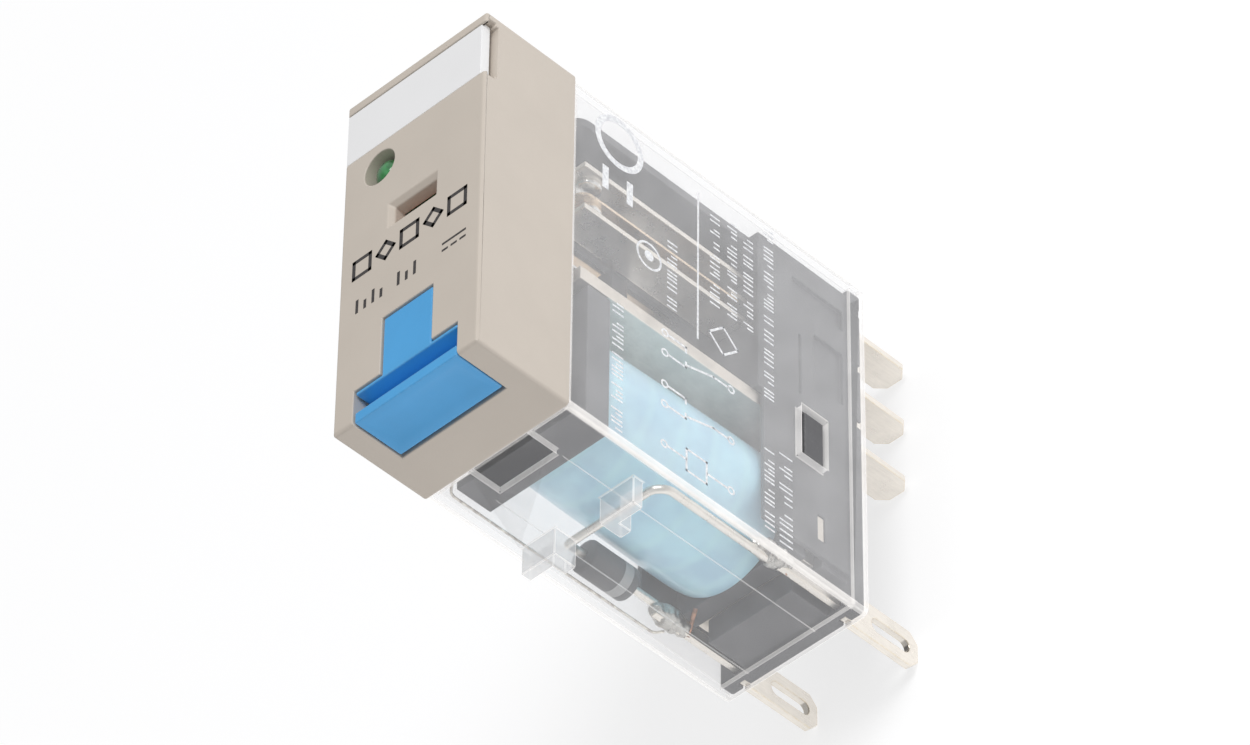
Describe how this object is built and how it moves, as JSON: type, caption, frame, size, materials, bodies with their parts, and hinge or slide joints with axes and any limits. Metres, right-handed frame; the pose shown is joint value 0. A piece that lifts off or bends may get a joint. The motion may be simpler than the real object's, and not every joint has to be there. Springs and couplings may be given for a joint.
{
  "type": "industrial control relay",
  "caption": "Plug-in control relay in a clear case with a beige front cap, slide-out test button, LED, nameplate and blade terminals.",
  "frame": {"origin": "centre of the seating face of the base, on which the relay meets its socket", "axes": "+Z from the terminals towards the front cap, X along the case with the coil at -X and the contacts at +X, Y across the case"},
  "size_m": [0.0309, 0.0126, 0.0413],
  "materials": {
    "beige_plastic": "fine matte moulded",
    "clear_plastic": "clear, polished, slightly hazy",
    "black_plastic": "satin moulded",
    "white_plastic": "smooth matte",
    "blue_plastic": "satin moulded",
    "green_lens": "clear tinted dome",
    "tape": "polyester tape, smooth",
    "yoke_steel": "plated, satin",
    "spring_steel": "bright rolled",
    "copper": "enamelled wire",
    "terminal_metal": "tin plated, satin",
    "spring_bronze": "rolled, bright",
    "contact_silver": "bright",
    "solder": "cast, lumpy",
    "diode_epoxy": "moulded with a pale band",
    "board": "coated laminate",
    "resistor_coat": "lacquered",
    "flag_plastic": "moulded"
  },
  "bodies": {
    "case": {"base": "black_plastic", "cover": "clear_plastic", "cap": "beige_plastic", "led_lens": "green_lens", "led_leads": "terminal_metal", "indicator_board": "board", "resistor": "resistor_coat", "indicator_wires": "copper", "yoke": "yoke_steel", "core": "yoke_steel", "bobbin": "black_plastic", "winding": "copper", "coil_tape": "tape", "coil_leads": "copper", "diode_body": "diode_epoxy", "diode_leads": "terminal_metal", "solder_joints": "solder", "coil_terminal_a": "terminal_metal", "coil_terminal_b": "terminal_metal", "nc_terminal_a": "terminal_metal", "nc_terminal_b": "terminal_metal", "com_terminal_a": "terminal_metal", "com_terminal_b": "terminal_metal", "no_terminal_a": "terminal_metal", "no_terminal_b": "terminal_metal", "nc_contacts": "contact_silver", "no_contacts": "contact_silver", "hinge_spring": "spring_steel"},
    "armature": {"armature": "yoke_steel", "card": "black_plastic", "indicator_flag": "flag_plastic"},
    "moving_spring_a": {"moving_spring_a": "spring_bronze", "moving_contacts_a": "contact_silver"},
    "moving_spring_b": {"moving_spring_b": "spring_bronze", "moving_contacts_b": "contact_silver"},
    "test_button": {"test_button": "blue_plastic"},
    "nameplate": {"nameplate": "white_plastic"}
  },
  "joints": [
    {"name": "armature_pivot", "type": "hinge", "parent": "case", "child": "armature", "pos_m": [-0.00035, 0, 0.0251], "axis": [0, -1, 0], "range_deg": [0, 4.5], "stiffness_Nm_per_rad": 0.002, "springref_deg": -17.19},
    {"name": "spring_a_bend", "type": "hinge", "parent": "case", "child": "moving_spring_a", "pos_m": [0.00755, 0, 0.0107], "axis": [0, 1, 0], "range_deg": [0, 4.4]},
    {"name": "spring_b_bend", "type": "hinge", "parent": "case", "child": "moving_spring_b", "pos_m": [0.00755, 0, 0.0107], "axis": [0, 1, 0], "range_deg": [0, 4.4]},
    {"name": "test_button_slide", "type": "slide", "parent": "case", "child": "test_button", "axis": [-1, 0, 0], "range_m": [0, 0.004]},
    {"name": "nameplate_slide", "type": "slide", "parent": "case", "child": "nameplate", "axis": [0, -1, 0], "range_m": [0, 0.013]}
  ],
  "couplings": [
    {"joint": "spring_a_bend", "follows": "armature_pivot", "ratio": 0.95},
    {"joint": "spring_b_bend", "follows": "armature_pivot", "ratio": 0.95}
  ]
}
